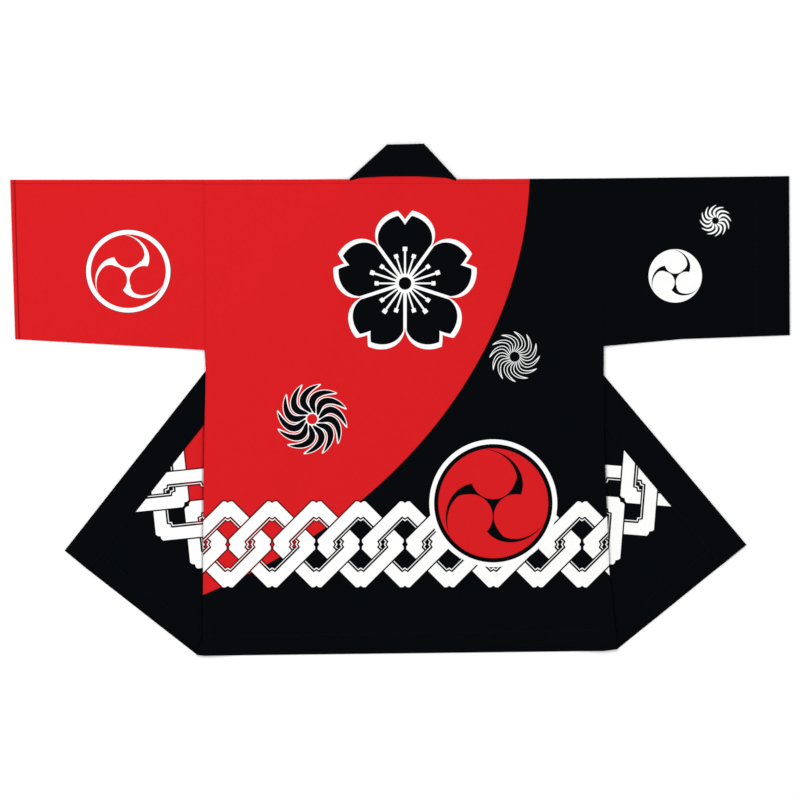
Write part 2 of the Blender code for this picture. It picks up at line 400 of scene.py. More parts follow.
def sheet_parts(sheet):
    """A flat sheet's points and faces."""
    points = np.array([vert.co[:2] for vert in sheet.verts])
    sheet.verts.index_update()
    faces = [[vert.index for vert in face.verts] for face in sheet.faces]
    sheet.free()
    return points, faces


def even_lines(corners, along, step):
    """Cuts across a sheet, a step apart along a direction."""
    reach = corners @ along
    places = np.arange(math.ceil(reach.min() / step), math.floor(reach.max() / step) + 1) * step
    return [(along * place, along) for place in places]


class Num:
    """A number that varies over the cloth. Arithmetic on it makes Math nodes in its tree."""

    def __init__(self, tree, socket):
        self.tree, self.socket = tree, socket

    def math(self, operation, *values, clamp=False):
        node = new_node(self.tree, "ShaderNodeMath")
        node.operation, node.use_clamp = operation, clamp
        for socket, value in zip(node.inputs, (self, *values)):
            feed(self.tree, socket, value)
        return Num(self.tree, node.outputs[0])

    def __add__(self, other):
        return self.math("ADD", other)

    def __sub__(self, other):
        return self.math("SUBTRACT", other)

    def __mul__(self, other):
        return self.math("MULTIPLY", other)

    def __truediv__(self, other):
        return self.math("DIVIDE", other)

    def __rsub__(self, other):
        return self.math("MULTIPLY_ADD", -1.0, other)

    def __rtruediv__(self, other):
        return self.math("POWER", -1.0) * other

    __radd__, __rmul__ = __add__, __mul__

    def __abs__(self):
        return self.math("ABSOLUTE")

    def to(self, power):
        return self.math("POWER", power)

    def least(self, other):
        return self.math("MINIMUM", other)

    def most(self, other):
        return self.math("MAXIMUM", other)

    def under(self, limit, soft):
        """1 where the number is under a limit and 0 where it is over, with a soft step between."""
        return ((self - limit) / soft).math("MULTIPLY_ADD", -1.0, 0.5, clamp=True)

    def around(self, turn):
        """The number less the nearest whole count of turns."""
        return self - (self / turn).math("ROUND") * turn


def new_node(tree, kind):
    node = tree.nodes.new(kind)
    count = len(tree.nodes)
    node.location = (190 * (count % 16), -190 * (count // 16))
    return node


def feed(tree, socket, value):
    if isinstance(value, Num):
        tree.links.new(value.socket, socket)
    elif isinstance(value, bpy.types.NodeSocket):
        tree.links.new(value, socket)
    else:
        socket.default_value = value


def new_surface(name):
    """A material, its tree and its shader."""
    material = bpy.data.materials.new(name)
    material.use_nodes = True
    return material, material.node_tree, material.node_tree.nodes["Principled BSDF"]


def parts_of(tree, vector):
    """The three numbers of a vector."""
    split = new_node(tree, "ShaderNodeSeparateXYZ")
    feed(tree, split.inputs[0], vector)
    return [Num(tree, socket) for socket in split.outputs]


def noise_over(tree, place, scale):
    noise = new_node(tree, "ShaderNodeTexNoise")
    noise.inputs["Scale"].default_value = scale
    feed(tree, noise.inputs["Vector"], place)
    return Num(tree, noise.outputs[0])


def object_noise(tree, scale):
    return noise_over(tree, new_node(tree, "ShaderNodeTexCoord").outputs["Object"], scale)


def add_bump(tree, shader, relief, strength, distance):
    bump = new_node(tree, "ShaderNodeBump")
    bump.inputs["Strength"].default_value = strength
    bump.inputs["Distance"].default_value = distance
    feed(tree, bump.inputs["Height"], relief)
    feed(tree, shader.inputs["Normal"], bump.outputs[0])


def start_group(name, inputs):
    """A shader group with these number inputs and their defaults. Returns it and its inputs as numbers."""
    group = bpy.data.node_groups.new(name, "ShaderNodeTree")
    for label, default in inputs.items():
        socket = group.interface.new_socket(label, in_out="INPUT", socket_type="NodeSocketFloat")
        socket.default_value = default
    entry = new_node(group, "NodeGroupInput")
    return group, [Num(group, entry.outputs[label]) for label in inputs]


def end_group(group, outputs):
    for label in outputs:
        group.interface.new_socket(label, in_out="OUTPUT", socket_type="NodeSocketFloat")
    leave = new_node(group, "NodeGroupOutput")
    for label, value in outputs.items():
        feed(group, leave.inputs[label], value)
    return group


def use_group(tree, name, **values):
    """Places a group in a tree. Returns its outputs as numbers, in order."""
    node = new_node(tree, "ShaderNodeGroup")
    node.node_tree = bpy.data.node_groups[name]
    for label, value in values.items():
        feed(tree, node.inputs[label.replace("_", " ")], value)
    return [Num(tree, socket) for socket in node.outputs]


def from_centre(x, y, centre_x, centre_y, radius):
    """A point's place in a round motif: its distance from the centre in radii, and its angle clockwise."""
    dx, dy = (x - centre_x) / radius, (centre_y - y) / radius
    reach = (dx * dx + dy * dy).math("SQRT")
    return reach, dy.math("ARCTAN2", dx)


def make_weave_group():
    """Plain weave: how high its threads stand and how light each is, with painted shade between the threads.
    """
    group, (x, y, pitch) = start_group("Weave", {"X": 0.0, "Y": 0.0, "Pitch": 0.45 * MM})
    warp = (x / pitch * math.pi).math("SINE")
    weft = (y / pitch * math.pi).math("SINE")
    over = (warp * weft).math("GREATER_THAN", 0.0)
    height = abs(warp) * over + abs(weft) * (1.0 - over)
    where = new_node(group, "ShaderNodeCombineXYZ")
    feed(group, where.inputs[0], x)
    feed(group, where.inputs[1], y)
    # Painted shade: a thread is lighter on its crown and darker where it dips under another. The noise below
    # is tone that varies at random.
    shade = height * 0.05 + 0.955
    for scale, amount, stretch in ((90.0, 0.05, 1.0), (900.0, 0.11, 0.12), (900.0, 0.11, 8.0)):
        spread = new_node(group, "ShaderNodeVectorMath")
        spread.operation = "MULTIPLY"
        feed(group, spread.inputs[0], where.outputs[0])
        spread.inputs[1].default_value = (scale, scale * stretch, 1.0)
        shade = shade + (noise_over(group, spread.outputs[0], 1.0) - 0.5) * amount
    return end_group(group, {"Height": height, "Shade": shade})


def make_seam_group():
    """A line at a set distance from an edge: how dark it is and how deep. It draws sewn lines, and also
    painted shade.
    """
    group, (distance, place, width) = start_group("Seam", {"Distance": 0.0, "Place": 0.0, "Width": MM})
    across = abs(distance - place) / width
    dark = across.under(0.5, 1.0)
    depth = (across * across * -1.0).math("EXPONENT")
    return end_group(group, {"Dark": dark, "Depth": depth})


def make_chain_group():
    """A row of square links standing on their corners, each woven through the next."""
    inputs = {"X": 0.0, "Y": 0.0, "Start": 0.0, "Middle": 0.0, "Pitch": 0.08, "Seen through": 0.0}
    group, (x, y, start, middle, pitch, through) = start_group("Chain", inputs)
    place = (x - start) / pitch
    dy = (y - middle) / pitch
    first = place.math("FLOOR")
    left, right = place - first, place - first - 1.0
    soft, line = 0.008, 0.034

    def link(dx):
        """The mask of a link's ring and of the lines drawn on it."""
        ax, ay = abs(dx), abs(dy)
        sum_xy, far = ax + ay, ax.most(ay)
        far = far + (1.0 - ax.least(ay) / 0.0543).most(0.0) * 0.036

        def inside(reach, flat):
            return ((sum_xy - reach) / math.sqrt(2)).most(far - flat)

        # Half the width of each outline, across its slants and its flats, in pitches.
        outer, inner, inline = inside(1.1246, 1.0027), inside(0.5696, 0.5247), inside(0.6711, 0.6056)
        ring = outer.under(0.0, soft) * (1.0 - inner.under(0.0, soft))
        lines = (0.0 - outer).under(line, soft) + inner.under(line, soft)
        lines = lines + abs(inline).under(line * 0.6, soft)
        return ring, lines.math("MULTIPLY", 1.0, clamp=True) * ring

    rings, lines = zip(*(link(dx) for dx in (left, right)))
    upper = abs(dy.math("GREATER_THAN", 0.0) - through)
    top_ring = rings[1] * upper + rings[0] * (1.0 - upper)
    under_ring = rings[0] * upper + rings[1] * (1.0 - upper)
    top_line = lines[1] * upper + lines[0] * (1.0 - upper)
    under_line = lines[0] * upper + lines[1] * (1.0 - upper)
    line_mask = top_line + (1.0 - top_ring) * under_line
    cover = top_ring.most(under_ring)
    return end_group(group, {"Link": cover - line_mask, "Line": line_mask})


def make_comma_group():
    """Three commas turning in a disc."""
    inputs = {"X": 0.0, "Y": 0.0, "Centre X": 0.0, "Centre Y": 0.0, "Radius": 0.1, "Head": 0.405,
              "Head place": 0.48, "Tip": math.radians(100), "Gap": 1.0, "Hub": 0.42}
    group, (x, y, cx, cy, radius, head, head_place, tip, gap, hub) = start_group("Three commas", inputs)
    reach, angle = from_centre(x, y, cx, cy, radius)
    soft = 0.5 * MM / radius
    third = math.radians(120)
    turn = (angle + math.radians(90)).around(third)
    head_x, head_y = reach * turn.math("COSINE") - head_place, reach * turn.math("SINE")
    in_head = (head_x * head_x + head_y * head_y).math("SQRT").under(head, soft)
    past_tip = (angle + tip).math("FLOORED_MODULO", third) / math.radians(86)
    edge = 1.0 - (past_tip * 0.19 + 0.31) * past_tip
    width = (past_tip * 0.14 + 0.08) * past_tip * gap + (past_tip - 0.58).most(0.0).to(2.0) * 8.0
    between = reach.under(edge, soft) * (edge - width - reach).under(0.0, soft) * past_tip.under(1.0, 0.01)
    space = between.most(reach.under(hub, soft)) * (1.0 - in_head)
    return end_group(group, {"Comma": reach.under(1.0, soft) * (1.0 - space), "Reach": reach * radius})


def make_pinwheel_group():
    """Twelve curved blades turning about a hub."""
    inputs = {"X": 0.0, "Y": 0.0, "Centre X": 0.0, "Centre Y": 0.0, "Radius": 0.1, "Turn": 0.0, "Twist": 1.0,
              "Blade": 0.08, "Outline": 0.04}
    group, (x, y, cx, cy, radius, turn, twist, blade, outline) = start_group("Pinwheel", inputs)
    reach, angle = from_centre(x, y, cx, cy, radius)
    soft = 0.5 * MM / radius
    # How far a blade lags behind its tip, in degrees, at shares of the radius.
    measured = np.array([(0.20, -27), (0.37, -44), (0.61, -37), (0.79, -24), (0.93, -9), (1.0, 0)])
    c3, c2, c1, c0 = (float(c) for c in np.polyfit(measured[:, 0], np.radians(measured[:, 1]), 3))
    lag = ((reach * c3 + c2) * reach + c1) * reach + c0
    slope = ((reach * (3 * c3) + 2 * c2) * reach + c1) * reach
    off = ((angle - turn) * twist - lag).around(math.radians(30))
    across = abs(off) * reach / (slope * slope + 1.0).math("SQRT")
    along = ((reach - 0.12) / 0.88).most(0.0)
    half = blade * (along * (1.0 - along) * 4.0).most(0.0001).to(0.7)
    whole = across.under(half, soft) * reach.under(1.0, soft)
    core = across.under(half - outline, soft) * reach.under(1.0 - outline, soft)
    return end_group(group, {"Whole": whole, "Core": core, "Reach": reach * radius})


def new_material(name):
    """A cloth material. Returns it, its tree, its shader and the cloth's flat place as two numbers."""
    material, tree, shader = new_surface(name)
    place = new_node(tree, "ShaderNodeUVMap")
    place.uv_map = "cloth"
    x, y, _ = parts_of(tree, place.outputs[0])
    return material, tree, shader, x, y


def mixed(tree, factor, low, high):
    """Low where the factor is 0, high where it is 1."""
    node = new_node(tree, "ShaderNodeMix")
    node.data_type = "RGBA"
    for socket, value in zip((node.inputs[0], node.inputs[6], node.inputs[7]), (factor, low, high)):
        feed(tree, socket, value if isinstance(value, (Num, bpy.types.NodeSocket)) else (*value, 1.0))
    return node.outputs[2]


def finish_cloth(tree, shader, x, y, colour, seams, sizes):
    """Weave, sewn lines, painted shade and the soft finish of cotton, over a printed colour."""
    height, shade = use_group(tree, "Weave", X=x, Y=y, Pitch=sizes.weave_pitch)
    reader = new_node(tree, "ShaderNodeAttribute")
    reader.attribute_name = "edges"
    distances = parts_of(tree, reader.outputs["Vector"])
    relief = height * 0.05
    # Each entry darkens the colour along a line: sewn lines, and on a front a painted shade beside the body.
    for axis, place, width, depth, dark in seams:
        darker, deeper = use_group(tree, "Seam", Distance=distances[axis], Place=place * MM, Width=width * MM)
        relief = relief - deeper * depth
        shade = shade * (1.0 - darker * dark)
    toned = new_node(tree, "ShaderNodeMix")
    toned.data_type, toned.blend_type = "RGBA", "MULTIPLY"
    toned.inputs[0].default_value = 1.0
    feed(tree, toned.inputs[6], colour)
    tone = new_node(tree, "ShaderNodeCombineColor")
    for socket in tone.inputs:
        feed(tree, socket, shade)
    feed(tree, toned.inputs[7], tone.outputs[0])
    feed(tree, shader.inputs["Base Color"], toned.outputs[2])
    add_bump(tree, shader, relief, 1.0, MM)
    feed(tree, shader.inputs["Roughness"], height * -0.08 + 0.92)
    shader.inputs["Specular IOR Level"].default_value = sizes.gloss
    shader.inputs["Sheen Weight"].default_value = 0.03
    shader.inputs["Sheen Roughness"].default_value = 0.5


def ground(tree, x, y, coat):
    """Black cloth with a great oval of red. Returns where it is red and the colour."""
    dx, dy = (x + 853.2 * MM) / (1084.4 * MM), (y - 416.6 * MM) / (862.6 * MM)
    on_red = (dx * dx + dy * dy).math("SQRT").under(1.0, 0.0008)
    return on_red, mixed(tree, on_red, coat.black, coat.red)


def print_chain(tree, x, y, colour, on_red, start, middle, through, coat):
    """Lays the row of links over a colour."""
    link, line = use_group(tree, "Chain", X=x, Y=y, Start=start * MM, Middle=middle * MM,
                           Pitch=coat.chain_pitch, Seen_through=through)
    line_colour = mixed(tree, on_red, coat.black, coat.outline)
    colour = mixed(tree, line, colour, line_colour)
    return mixed(tree, link, colour, coat.white)


def print_pinwheel(tree, x, y, colour, coat, **shape):
    """Lays a black pinwheel edged in white. Returns the colour and the distance from its centre."""
    whole, core, reach = use_group(tree, "Pinwheel", X=x, Y=y, **shape)
    colour = mixed(tree, whole, colour, coat.white)
    return mixed(tree, core, colour, coat.black), reach


def print_discs(tree, reach, colour, discs):
    """Lays discs over a colour, each a radius in millimetres and its paint, the widest first."""
    for radius, paint in discs:
        colour = mixed(tree, reach.under(radius * MM, PRINT_SOFT), colour, paint)
    return colour


def body_material(coat):
    """The back's print: both grounds, the chain, the crest, two pinwheels and a blossom."""
    material, tree, shader, x, y = new_material("back print")
    on_red, colour = ground(tree, x, y, coat)
    colour = print_chain(tree, x, y, colour, on_red, -308.0, -258.4, 0.0, coat)
    comma, reach = use_group(tree, "Three commas", X=x, Y=y, Centre_X=166.2 * MM, Centre_Y=-185.0 * MM,
                             Radius=98.2 * MM)
    colour = print_discs(tree, reach, colour, ((114.2, coat.white), (105.8, coat.black)))
    colour = mixed(tree, comma, colour, coat.red)
    colour, reach = print_pinwheel(
        tree, x, y, colour, coat, Centre_X=-157.4 * MM, Centre_Y=-34.5 * MM, Radius=64.4 * MM,
        Turn=math.radians(-75.7), Blade=0.117, Outline=0.025)
    colour = print_discs(tree, reach, colour, ((11.5, coat.white), (9.3, coat.red)))
    colour, reach = print_pinwheel(
        tree, x, y, colour, coat, Centre_X=204.3 * MM, Centre_Y=76.9 * MM, Radius=45.1 * MM,
        Turn=math.radians(-92.7), Twist=-1.0, Blade=0.076, Outline=0.030)
    colour = print_discs(tree, reach, colour, ((9.0, coat.black),))
    colour = print_blossom(tree, x, y, colour, coat)
    finish_cloth(tree, shader, x, y, colour, BACK_SEAMS, coat)
    return material


def print_blossom(tree, x, y, colour, coat):
    """A five-petalled blossom in black, edged in white. Its numbers are shares of its radius."""
    reach, angle = from_centre(x, y, 8.5 * MM, 208.0 * MM, 134.0 * MM)
    fifth = math.radians(72)
    turn = abs((angle + math.radians(90)).around(fifth)) / (fifth / 2)
    rim = (1.0 - turn * turn).most(0.0).to(0.5) * 0.42 + 0.56
    rim = rim - (1.0 - turn / 0.16).most(0.0) * 0.13
    soft = 0.004
    edge = (reach - rim) / 1.25
    from_gap = (1.0 - turn) * reach * (fifth / 2)
    from_middle = turn * reach * (fifth / 2)
    petal = edge.under(-0.055, soft) * (0.0 - from_gap).under(-0.022, soft)
    colour = mixed(tree, edge.under(0.0, soft), colour, coat.white)
    colour = mixed(tree, petal, colour, coat.black)
    vein = from_middle.under(0.013, soft) * reach.under(0.44, soft)
    side = abs(turn - 0.5) * reach * (fifth / 2)
    vein = vein.most(side.under(0.011, soft) * reach.under(0.36, soft))
    tips = abs(reach - 0.46).under(0.028, soft) * from_middle.under(0.03, soft)
    tips = tips.most(abs(reach - 0.38).under(0.026, soft) * side.under(0.028, soft))
    colour = mixed(tree, vein.most(tips).most(reach.under(0.13, soft)), colour, coat.white)
    return mixed(tree, reach.under(0.085, soft), colour, coat.black)


def front_material(side, coat):
    """A front's print, whose chain lies a little askew and is seen from its other face."""
    material, tree, shader, x, y = new_material(f"front {side.name} print")
    on_red, colour = ground(tree, x, y, coat)
    askew, start, middle = FRONT_CHAINS[side.name]
    corner_x, corner_y = (part * MM for part in side.hem_corner)
    turn, tilt = math.cos(math.radians(askew)), math.sin(math.radians(askew))
    dx, dy = x - corner_x, y - corner_y
    chain_x, chain_y = dx * turn - dy * tilt + corner_x, dx * tilt + dy * turn + corner_y
    colour = print_chain(tree, chain_x, chain_y, colour, on_red, start, middle, 1.0, coat)
    finish_cloth(tree, shader, x, y, colour, FRONT_SEAMS_AND_PAINTED_SHADE, coat)
    return material


def left_sleeve_material(coat):
    material, tree, shader, x, y = new_material("left sleeve print")
    comma, reach = use_group(
        tree, "Three commas", X=x, Y=y * 1.02, Centre_X=-485.9 * MM, Centre_Y=234.2 * MM, Radius=67.1 * MM,
        Head=0.385, Tip=math.radians(97), Gap=1.3)
    rim = mixed(tree, reach.under(76.4 * MM, 0.8 * MM), coat.red, coat.outline)
    colour = print_discs(tree, reach, rim, ((75.3, coat.white),))
    colour = mixed(tree, comma, colour, coat.red)
    finish_cloth(tree, shader, x, y, colour, SLEEVE_SEAMS, coat)
    return material


def right_sleeve_material(coat):
    material, tree, shader, x, y = new_material("right sleeve print")
    comma, _ = use_group(
        tree, "Three commas", X=x, Y=y, Centre_X=491.3 * MM, Centre_Y=221.3 * MM, Radius=47.7 * MM,
        Head=0.395, Tip=math.radians(96), Gap=1.2)
    colour = mixed(tree, comma, coat.black, coat.white)
    whole, _, reach = use_group(
        tree, "Pinwheel", X=x, Y=y, Centre_X=563.1 * MM, Centre_Y=320.0 * MM, Radius=28.1 * MM,
        Turn=math.radians(-86.6), Blade=0.070, Outline=0.04)
    colour = mixed(tree, whole * (1.0 - reach.under(6.1 * MM, PRINT_SOFT)), colour, coat.white)
    finish_cloth(tree, shader, x, y, colour, SLEEVE_SEAMS, coat)
    return material


def band_material(coat):
    material, tree, shader, x, y = new_material("band cloth")
    plain = new_node(tree, "ShaderNodeRGB")
    plain.outputs[0].default_value = (*coat.black, 1.0)
    finish_cloth(tree, shader, x, y, plain.outputs[0], BAND_SEAMS, coat)
    return material


# Sewn lines on each kind of piece, and a painted shade on a front beside the body: which edge, how far in
# and how wide in millimetres, depth and darkness.
BACK_SEAMS = [(0, 7.5, 1.5, 0.3, 0.55), (1, 2.2, 1.2, 0.2, 0.12), (2, 1.0, 1.0, 0.2, 0.25)]
# On a front the last entry is no seam but a painted shade, darkest at the back's edge and gone 5 mm out.
FRONT_SEAMS_AND_PAINTED_SHADE = [(0, 6.5, 1.4, 0.3, 0.45), (2, 0.0, 5.0, 0.0, 0.75)]
SLEEVE_SEAMS = [(0, 7.6, 2.0, 0.3, 0.7), (1, 2.2, 1.2, 0.2, 0.12), (2, 7.0, 1.2, 0.2, 0.35)]
BAND_SEAMS = [(1, 0.4, 1.6, 0.2, 0.6)]


class CoatSizes(bpy.types.PropertyGroup):
    """The coat's sizes and colours."""

    cloth_wall: bpy.props.FloatProperty(
        name="Cloth wall", description="Thickness of a panel", default=1.0 * MM, unit="LENGTH", precision=5)
    band_wall: bpy.props.FloatProperty(
        name="Band wall", description="Thickness of the doubled collar band", default=1.8 * MM, unit="LENGTH",
        precision=5)
    mesh_step: bpy.props.FloatProperty(
        name="Mesh step", description="Spacing of a panel's points", default=5 * MM, unit="LENGTH",
        precision=4)
    crease_scale: bpy.props.FloatProperty(
        name="Creases", description="How strongly the creases stand up", default=1.5, subtype="FACTOR")
    weave_pitch: bpy.props.FloatProperty(
        name="Weave pitch", description="Spacing of the threads", default=0.45 * MM, unit="LENGTH",
        precision=5)
    chain_pitch: bpy.props.FloatProperty(
        name="Chain pitch", description="Spacing of the printed links", default=79.1 * MM, unit="LENGTH")
    gloss: bpy.props.FloatProperty(
        name="Gloss", description="Specular level of the cotton", default=0.03, subtype="FACTOR")
    red: bpy.props.FloatVectorProperty(
        name="Red", description="Red dye", default=(0.634, 0.0117, 0.0150), subtype="COLOR")
    black: bpy.props.FloatVectorProperty(
        name="Black", description="Black dye", default=(0.0007, 0.0014, 0.0025), subtype="COLOR")
    white: bpy.props.FloatVectorProperty(
        name="White", description="Undyed cloth", default=(0.93, 0.935, 0.925), subtype="COLOR")
    outline: bpy.props.FloatVectorProperty(
        name="Outline", description="Thin lines of the chain on red", default=(0.10, 0.006, 0.006),
        subtype="COLOR")


class StitchSizes(bpy.types.PropertyGroup):
    """The sizes of the stitches."""

    length: bpy.props.FloatProperty(
        name="Band stitch", description="Length of a stitch on the band", default=2.6 * MM, unit="LENGTH",
        precision=5)
    pitch: bpy.props.FloatProperty(
        name="Band pitch", description="Length of a stitch on the band and the gap after it",
        default=3.6 * MM, unit="LENGTH", precision=5)
    hem_length: bpy.props.FloatProperty(
        name="Hem stitch", description="Length of the small stitches that hold a hem", default=1.3 * MM,
        unit="LENGTH", precision=5)
    hem_pitch: bpy.props.FloatProperty(
        name="Hem pitch", description="Length of a hem stitch and the gap after it", default=7.5 * MM,
        unit="LENGTH", precision=5)
    hem_turning: bpy.props.FloatProperty(
        name="Hem turning", description="How far above the hem its stitches run", default=34 * MM,
        unit="LENGTH", precision=4)
    cuff_turning: bpy.props.FloatProperty(
        name="Cuff turning", description="How far inside the cuff its stitches run", default=61 * MM,
        unit="LENGTH", precision=4)
    width: bpy.props.FloatProperty(
        name="Thread", description="Thickness of the thread", default=0.5 * MM, unit="LENGTH", precision=5)


class StudioSizes(bpy.types.PropertyGroup):
    """The studio."""

    daylight: bpy.props.FloatProperty(
        name="Soft light", description="Light from all round", default=0.90)
    lamp: bpy.props.FloatProperty(
        name="Lamp", description="Power of the soft lamp at the upper left", default=50.0, unit="POWER")
    floor: bpy.props.FloatVectorProperty(
        name="Floor", description="Colour of the floor", default=(0.97, 0.97, 0.97), subtype="COLOR")


def finish_piece(piece, node):
    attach(piece, "root")
    if node:
        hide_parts(node)


def make_stitch_nodes():
    """A thread at each point, turned along it. Returns the group and the identifiers of its inputs."""
    group = bpy.data.node_groups.new("Stitches", "GeometryNodeTree")
    inputs = (("Rows", "Geometry", None), ("Length", "Float", 2.6 * MM), ("Width", "Float", 0.5 * MM),
              ("Uneven", "Float", 0.15), ("Seed", "Int", 7), ("Thread", "Material", None))
    names = {}
    for label, kind, default in inputs:
        socket = group.interface.new_socket(label, in_out="INPUT", socket_type=f"NodeSocket{kind}")
        if default is not None:
            socket.default_value = default
        names[label] = socket.identifier
    group.interface.new_socket("Stitches", in_out="OUTPUT", socket_type="NodeSocketGeometry")
    entry, leave = new_node(group, "NodeGroupInput"), new_node(group, "NodeGroupOutput")
    thread = new_node(group, "GeometryNodeMeshUVSphere")
    for label, value in (("Segments", 6), ("Rings", 4), ("Radius", 0.5)):
        thread.inputs[label].default_value = value
    size = new_node(group, "ShaderNodeCombineXYZ")
    for socket, label in zip(size.inputs, ("Length", "Width", "Width")):
        feed(group, socket, entry.outputs[label])
    uneven = Num(group, entry.outputs["Uneven"])
    chance = new_node(group, "FunctionNodeRandomValue")
    feed(group, chance.inputs["Seed"], entry.outputs["Seed"])
    grown = new_node(group, "ShaderNodeVectorMath")
    grown.operation = "SCALE"
    feed(group, grown.inputs[0], size.outputs[0])
    feed(group, grown.inputs["Scale"], (Num(group, chance.outputs[1]) * 2.0 - 1.0) * uneven + 1.0)
    reader = new_node(group, "GeometryNodeInputNamedAttribute")
    reader.data_type = "FLOAT_VECTOR"
    reader.inputs["Name"].default_value = "along"
    turn = new_node(group, "FunctionNodeAlignRotationToVector")
    turn.axis = "X"
    feed(group, turn.inputs["Vector"], reader.outputs["Attribute"])
    place = new_node(group, "GeometryNodeInstanceOnPoints")
    feed(group, place.inputs["Points"], entry.outputs["Rows"])
    feed(group, place.inputs["Instance"], thread.outputs["Mesh"])
    feed(group, place.inputs["Rotation"], turn.outputs["Rotation"])
    feed(group, place.inputs["Scale"], grown.outputs[0])
    real = new_node(group, "GeometryNodeRealizeInstances")
    feed(group, real.inputs[0], place.outputs[0])
    paint = new_node(group, "GeometryNodeSetMaterial")
    feed(group, paint.inputs["Geometry"], real.outputs[0])
    feed(group, paint.inputs["Material"], entry.outputs["Thread"])
    feed(group, leave.inputs[0], paint.outputs[0])
    return group, names


def thread_material(name, colour):
    """Spun thread, with a fine twist and uneven shade."""
    material, tree, shader = new_surface(name)
    grain = object_noise(tree, 1800.0)
    feed(tree, shader.inputs["Base Color"], mixed(tree, grain, tuple(0.6 * c for c in colour), colour))
    add_bump(tree, shader, grain, 0.5, 0.1 * MM)
    feed(tree, shader.inputs["Roughness"], grain * -0.2 + 0.8)
    shader.inputs["Specular IOR Level"].default_value = 0.2
    return material


def row_on(piece_name, path, pitch, level, away_from=None):
    """Points at each pitch of a path over a piece and the direction at each. Level is 1 on top, -1 below."""
    surface = BVHTree.FromObject(bpy.data.objects[piece_name], bpy.context.evaluated_depsgraph_get())
    path = np.array(path)
    steps = np.diff(path, axis=0)
    run = np.concatenate([[0], np.cumsum(np.linalg.norm(steps, axis=1))])
    at = np.arange(pitch / 2, run[-1], pitch)
    flat = np.column_stack([np.interp(at, run, path[:, axis]) for axis in range(2)])
    if away_from is not None:
        flat = flat[distance_outside(flat, away_from) > ROW_CLEAR]
    hits = [surface.ray_cast((*point, level), (0, 0, -level))[0] for point in flat]
    points = np.array([tuple(hit) for hit in hits if hit is not None])
    if level < 0:
        points[:, 2] += ROW_RAISE
    return points, np.gradient(points, axis=0)


def neckline(gap):
    """The back neckline from left to right, moved up by gap."""
    left, right = (metres(side.neck) for side in SIDES)
    across = np.linspace(-1, 1, 11)
    x = (left[0] + right[0]) / 2 + across * ((right[0] - left[0]) / 2 - NECK_END)
    return np.column_stack([x, left[1] + NECK_RISE * (1 - across**2) + NECK_END / 2 + gap])


def back_panel():
    """The back below its shoulder seams, from side to side."""
    left, right = SIDES
    drop = np.array([0, SHOULDER_WRAP])
    seam = [metres(side.shoulder) - drop for side in SIDES]
    return Panel(
        left=[*metres([left.back_corner, *left.side_edge[::-1], left.underarm]), seam[0]],
        right=[*metres([right.back_corner, *right.side_edge[::-1], right.underarm]), seam[1]],
        bottom=metres([left.back_corner, *HEM_BENDS, right.back_corner]),
        top=[seam[0], *(metres(side.neck) - drop for side in SIDES), seam[1]],
    )


def shaped_back(points, coat):
    """Where the back's flat points lie, with its edges drawn down to the fronts and its creases."""
    distance = back_panel().distances(points)
    level = 2 - EDGE_DROP * ease(distance[:, 1], EDGE_REACH)
    placed = at_level(points, level, CLOTH)
    hem = hem_ridge(distance[:, 0], 0.35 * MM)
    placed[:, 2] += creased(points, BACK_CREASES, coat.crease_scale) + hem
    return placed


class COAT_OT_back(bpy.types.Operator):
    """Makes the back panel, printed, with its hem and creases"""

    bl_idname = "coat.back"
    bl_label = "Back"

    def execute(self, context):
        coat = context.scene.coat
        panel = back_panel()
        left, right = SIDES
        width = panel.right[0, 0] - panel.left[0, 0]
        length = panel.top[0, 1] - panel.bottom[0, 1]
        across, up = spacing(width, coat.mesh_step), spacing(length, coat.mesh_step)
        ends = [metres(left.neck)[0] + 3 * SEAM_GAP, metres(right.neck)[0] - 3 * SEAM_GAP]
        span = panel.top[-1, 0] - panel.top[0, 0]
        columns = []
        for end in ends:
            fraction = (end - panel.top[0, 0]) / span
            columns.append(int(np.argmin(np.abs(across - fraction))))
            across[columns[-1]] = fraction
        body = panel.grid(across, up)
        rows, count = body.shape[:2]
        points = body.reshape(-1, 2)

        # The part between the shoulder seams, up to the neckline.
        low, high = columns
        base = body[-1, low:high + 1]
        line = neckline(0)[1:-1]
        corner_y = [metres(side.neck)[1] - NECK_CORNER for side in SIDES]
        neck_top = np.array([[ends[0], corner_y[0]], *line, [ends[1], corner_y[1]]])
        top_y = np.interp(base[:, 0], neck_top[:, 0], neck_top[:, 1])
        shares = np.array([0.35, 0.7, 1.0])
        first = len(points)
        neck = np.array([
            [(x, y + share * (top - y)) for (x, y), top in zip(base, top_y)] for share in shares])
        points = np.concatenate([points, neck.reshape(-1, 2)])
        number = np.concatenate([
            [(rows - 1) * count + np.arange(low, high + 1)],
            first + grid_numbers(*neck.shape[:2]),
        ])
        faces = np.concatenate([quads(grid_numbers(rows, count)), quads(number)])
        piece = add_cloth("back_cloth", shaped_back(points, coat), faces, points,
                          panel.distances(points), coat.cloth_wall, body_material(coat))
        finish_piece(piece, "back")
        return {"FINISHED"}


def front_panel(side):
    """A front laid open, from its side seam to the band, with the part that wraps over the shoulder."""
    shoulder, neck, centre_hem = (metres(p) for p in (side.shoulder, side.neck, side.centre_hem))
    inward = -side.sign
    wrap = over_shoulder(side) * (SHOULDER_WRAP - SEAM_GAP)
    lap = np.array([inward * BAND_LAP, 0])
    outer = [*metres([side.hem_corner, *side.side_edge[::-1], side.underarm]), shoulder, shoulder + wrap]
    band_start = LAYOUTS[side.name]["band"][2]
    at_neck = neck + np.array([inward * NECK_LAP, 0])
    inner = [centre_hem + lap, band_start + lap, at_neck, at_neck + wrap]
    left, right = (outer, inner) if side.sign < 0 else (inner, outer)
    return Panel(left=left, right=right, bottom=[left[0], right[0]], top=[left[-1], right[-1]])


